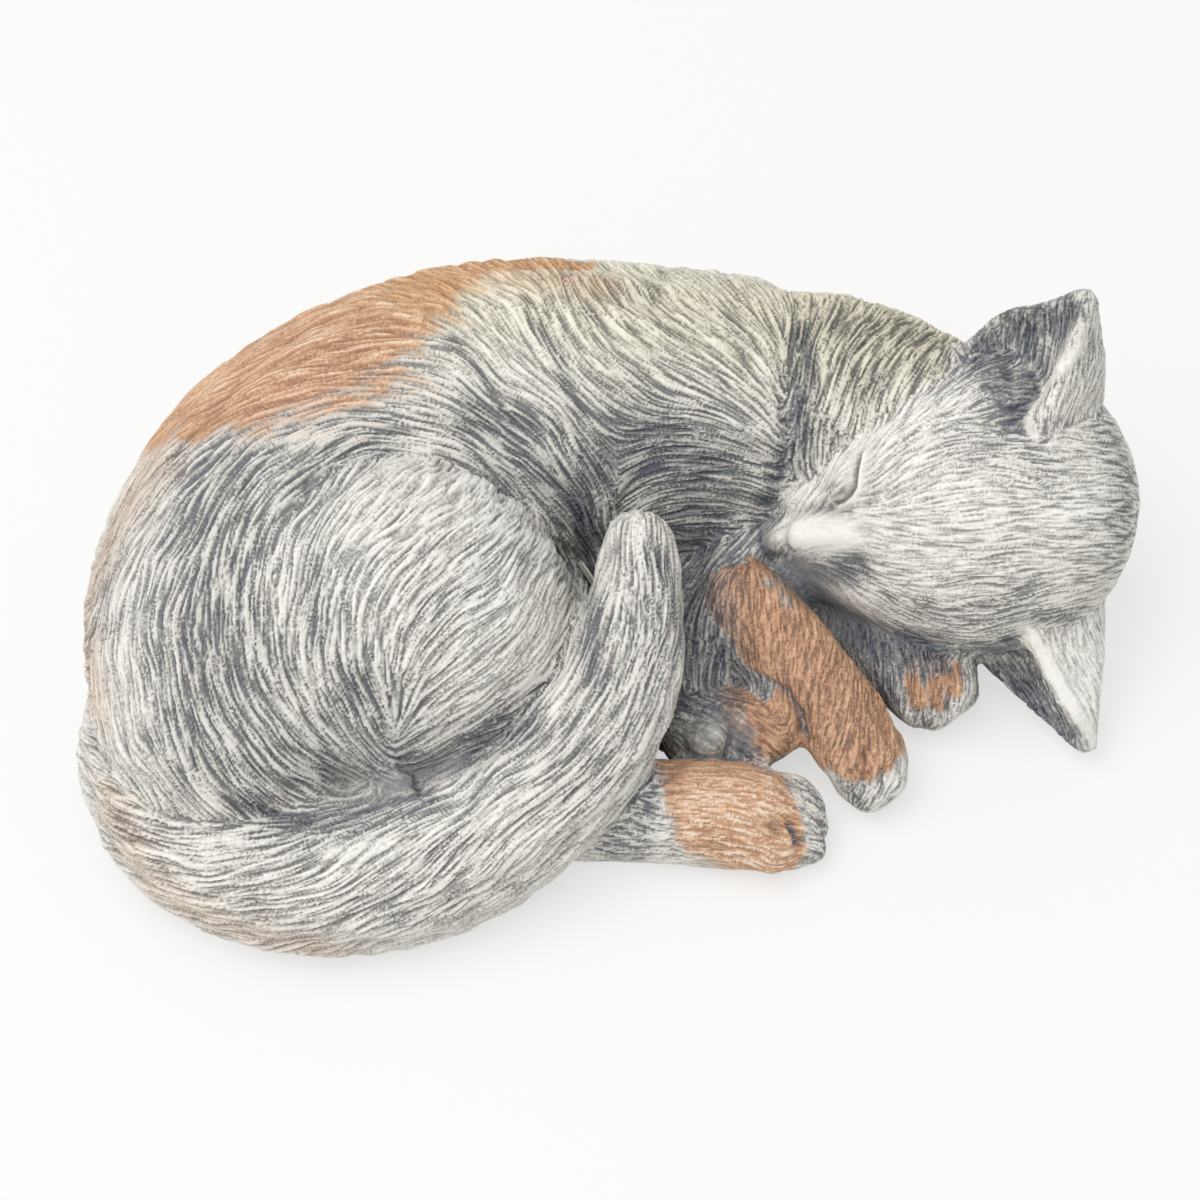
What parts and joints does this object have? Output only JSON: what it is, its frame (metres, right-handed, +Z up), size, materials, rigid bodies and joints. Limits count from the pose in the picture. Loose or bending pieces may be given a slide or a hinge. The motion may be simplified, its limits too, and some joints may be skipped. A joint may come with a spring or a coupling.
{
  "type": "sleeping cat statue",
  "caption": "Free-standing concrete garden ornament of a kitten asleep, curled on its side with tail wrapped round and head on its forepaws, with a flat underside to rest on.",
  "frame": {"origin": "middle of the statue's plan, on the flat underside", "axes": "+Z up; +X along the statue from the rump to the crown of the head; -Y towards the tail and paws"},
  "size_m": [0.3006, 0.2066, 0.1169],
  "materials": {
    "painted_coat": "matte",
    "ginger_paint": "matte",
    "slate_wash": "matte"
  },
  "bodies": {
    "root": {"trunk": "painted_coat", "neck": "painted_coat", "haunch": "painted_coat", "tail": "painted_coat", "near_hind_foot": "ginger_paint", "far_hind_paw": "ginger_paint", "near_shoulder": "slate_wash", "near_foreleg": "ginger_paint", "far_foreleg": "ginger_paint", "head": "painted_coat", "far_ear": "slate_wash", "near_ear": "slate_wash"}
  },
  "joints": []
}
